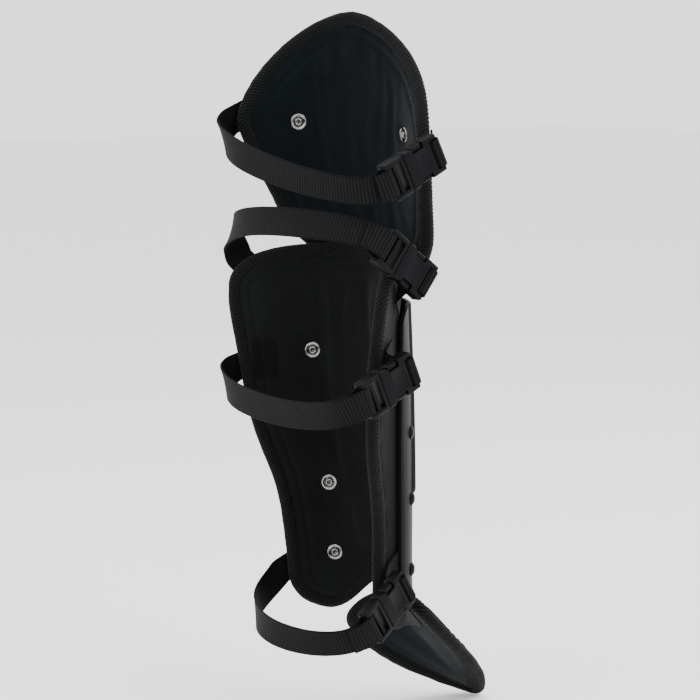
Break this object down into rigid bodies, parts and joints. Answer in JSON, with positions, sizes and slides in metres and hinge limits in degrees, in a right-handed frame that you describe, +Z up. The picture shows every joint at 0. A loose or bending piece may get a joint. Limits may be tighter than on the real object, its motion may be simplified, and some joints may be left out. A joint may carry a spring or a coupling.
{
  "type": "riot leg guard",
  "caption": "Padded leg guard with knee, shin and foot plates, worn on the front of the leg and held by buckled webbing straps.",
  "frame": {"origin": "front centre line of the shin lining's inner surface, at the height of the third row of rivets, where the shin rests", "axes": "+Z up the leg, -Y towards the toes, +Y to the back of the leg, -X to the side with the buckles"},
  "size_m": [0.2533, 0.2667, 0.6517],
  "materials": {
    "knee_fabric": "brushed knit, matt",
    "shin_fabric": "fine woven nylon over foam, matt",
    "foot_fabric": "brushed knit, matt",
    "binding": "twill edge tape",
    "webbing": "ribbed nylon webbing",
    "shell": "glossy moulded plastic",
    "buckle": "satin moulded acetal",
    "metal": "nickel-plated rivets",
    "label": "bare woven label"
  },
  "bodies": {
    "root": {"anchor_1": "webbing", "anchor_2": "webbing", "anchor_3": "webbing", "anchor_4": "webbing", "buckle_female_1": "buckle", "buckle_female_2": "buckle", "buckle_female_3": "buckle", "buckle_female_4": "buckle", "buckle_male_1": "buckle", "buckle_male_2": "buckle", "buckle_male_3": "buckle", "buckle_male_4": "buckle", "foot_binding": "binding", "foot_liner": "foot_fabric", "foot_shell": "shell", "foot_tab": "webbing", "knee_binding": "binding", "knee_liner": "knee_fabric", "knee_shell": "shell", "knee_tongue": "knee_fabric", "label": "label", "rivet_knee_far": "metal", "rivet_knee_near": "metal", "rivet_shin_far_1": "metal", "rivet_shin_far_2": "metal", "rivet_shin_far_3": "metal", "rivet_shin_far_4": "metal", "rivet_shin_near_1": "metal", "rivet_shin_near_2": "metal", "rivet_shin_near_3": "metal", "rivet_shin_near_4": "metal", "shin_binding": "binding", "shin_liner": "shin_fabric", "shin_shell": "shell", "strap_1": "webbing", "strap_2": "webbing", "strap_3": "webbing", "strap_4": "webbing"}
  },
  "joints": []
}
